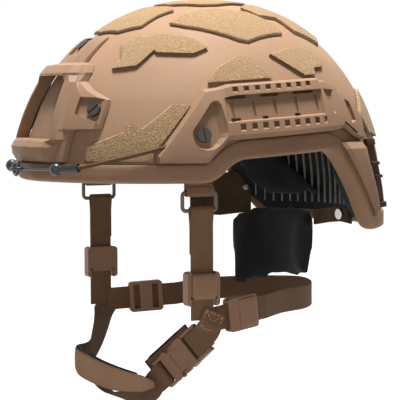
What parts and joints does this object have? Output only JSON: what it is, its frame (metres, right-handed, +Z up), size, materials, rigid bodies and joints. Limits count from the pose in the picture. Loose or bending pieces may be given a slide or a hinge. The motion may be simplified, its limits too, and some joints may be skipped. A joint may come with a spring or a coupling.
{
  "type": "combat helmet",
  "caption": "High-cut combat helmet with accessory rails, a front sight-bracket shroud, loop patches, bungee cords, foam pads and a strap harness with a side-release chin buckle.",
  "frame": {"origin": "The point in the middle of the wearer's head at the height of the brow, midway between the two rails, where a head model would be placed (mount head_seat).", "axes": "+Z up along the helmet's crown, -Y to the front (the shroud), +X to the wearer's left."},
  "size_m": [0.2586, 0.3167, 0.321],
  "materials": {
    "shell_tan": "matt sand-textured paint over a moulded composite shell",
    "trim_coyote": "soft extruded edge trim",
    "rail_tan": "moulded plastic, fine grain",
    "channel_brown": "moulded plastic, darker brown",
    "loop_sand": "loop pile with a fused edge",
    "webbing_brown": "woven nylon webbing",
    "band_khaki": "padded woven fabric",
    "buckle_brown": "moulded acetal",
    "screw_dark": "blackened steel",
    "nut_steel": "zinc plated steel",
    "hook_black": "moulded nylon, black",
    "cord_brown": "braided elastic cord",
    "ring_brown": "coated steel wire",
    "foam_black": "foam pad in brushed black cloth",
    "liner_black": "flexible moulded liner",
    "leather_brown": "smooth dark leather",
    "snap_silver": "nickel plated brass"
  },
  "bodies": {
    "root": {"shell": "shell_tan", "nvg_shroud": "shell_tan", "edge_trim": "trim_coyote", "rail_left": "rail_tan", "rail_right": "rail_tan", "rear_rail_left": "rail_tan", "rear_rail_right": "rail_tan", "rear_channel_left": "channel_brown", "rear_channel_right": "channel_brown", "patch_front": "loop_sand", "patch_crown": "loop_sand", "patch_back": "loop_sand", "patch_nape": "loop_sand", "patches_upper": "loop_sand", "patches_brow": "loop_sand", "patches_side": "loop_sand", "patches_ear": "loop_sand", "patches_cheek": "loop_sand", "strap_tab_left": "webbing_brown", "strap_tab_right": "webbing_brown", "side_strap_left": "webbing_brown", "side_strap_right": "webbing_brown", "nape_strap": "webbing_brown", "chin_strap_left": "webbing_brown", "buckle_socket": "buckle_brown", "shroud_screws": "screw_dark", "rail_screws": "screw_dark", "rear_screws": "screw_dark", "shroud_nuts": "nut_steel", "rail_nuts": "nut_steel", "bungee_left": "cord_brown", "bungee_right": "cord_brown", "ring_left": "ring_brown", "ring_right": "ring_brown", "front_pad": "foam_black", "side_pad_left": "foam_black", "side_pad_right": "foam_black", "crown_pad": "foam_black", "pad_discs": "foam_black", "rear_pad_left": "foam_black", "rear_pad_right": "foam_black", "nape_pad": "foam_black", "rear_liner": "liner_black", "nape_tab_left": "leather_brown", "nape_tab_right": "leather_brown", "snaps": "snap_silver"},
    "chin_half": {"buckle_male": "buckle_brown", "under_chin_strap": "webbing_brown", "chin_band": "band_khaki", "chin_lining": "foam_black", "buckle_flap": "webbing_brown", "chin_strap_right": "webbing_brown"},
    "prong_low": {"prong_low": "buckle_brown"},
    "prong_high": {"prong_high": "buckle_brown"},
    "adjuster_left": {"adjuster_left": "buckle_brown"},
    "adjuster_right": {"adjuster_right": "buckle_brown"},
    "slider_left": {"slider_left": "buckle_brown"},
    "slider_right": {"slider_right": "buckle_brown"},
    "bungee_hooks": {"hook_left": "hook_black", "hook_right": "hook_black"}
  },
  "joints": [
    {"name": "chin_release", "type": "slide", "parent": "root", "child": "chin_half", "axis": [-0.587, -0.453, -0.671], "range_m": [0, 0.022]},
    {"name": "prong_low_squeeze", "type": "hinge", "parent": "chin_half", "child": "prong_low", "pos_m": [0.08133, -0.05852, -0.14667], "axis": [0.6197, -0.7848, -0.0123], "range_deg": [0, 10], "stiffness_Nm_per_rad": 0.3},
    {"name": "prong_high_squeeze", "type": "hinge", "parent": "chin_half", "child": "prong_high", "pos_m": [0.07278, -0.06545, -0.13451], "axis": [0.6197, -0.7848, -0.0123], "range_deg": [-10, 0], "stiffness_Nm_per_rad": 0.3},
    {"name": "adjuster_left_slide", "type": "slide", "parent": "root", "child": "adjuster_left", "axis": [0, 0, 1], "range_m": [0, 0.028]},
    {"name": "adjuster_right_slide", "type": "slide", "parent": "root", "child": "adjuster_right", "axis": [0, 0, 1], "range_m": [0, 0.028]},
    {"name": "slider_left_slide", "type": "slide", "parent": "root", "child": "slider_left", "axis": [-0.2409, 0.9636, 0.1156], "range_m": [-0.008, 0.008]},
    {"name": "slider_right_slide", "type": "slide", "parent": "root", "child": "slider_right", "axis": [0.2421, 0.9685, 0.0581], "range_m": [-0.008, 0.008]},
    {"name": "bungee_stretch", "type": "slide", "parent": "root", "child": "bungee_hooks", "axis": [0, -1, 0], "range_m": [0, 0.02], "stiffness_N_per_m": 300, "deforming": ["bungee_left", "bungee_right"]}
  ]
}
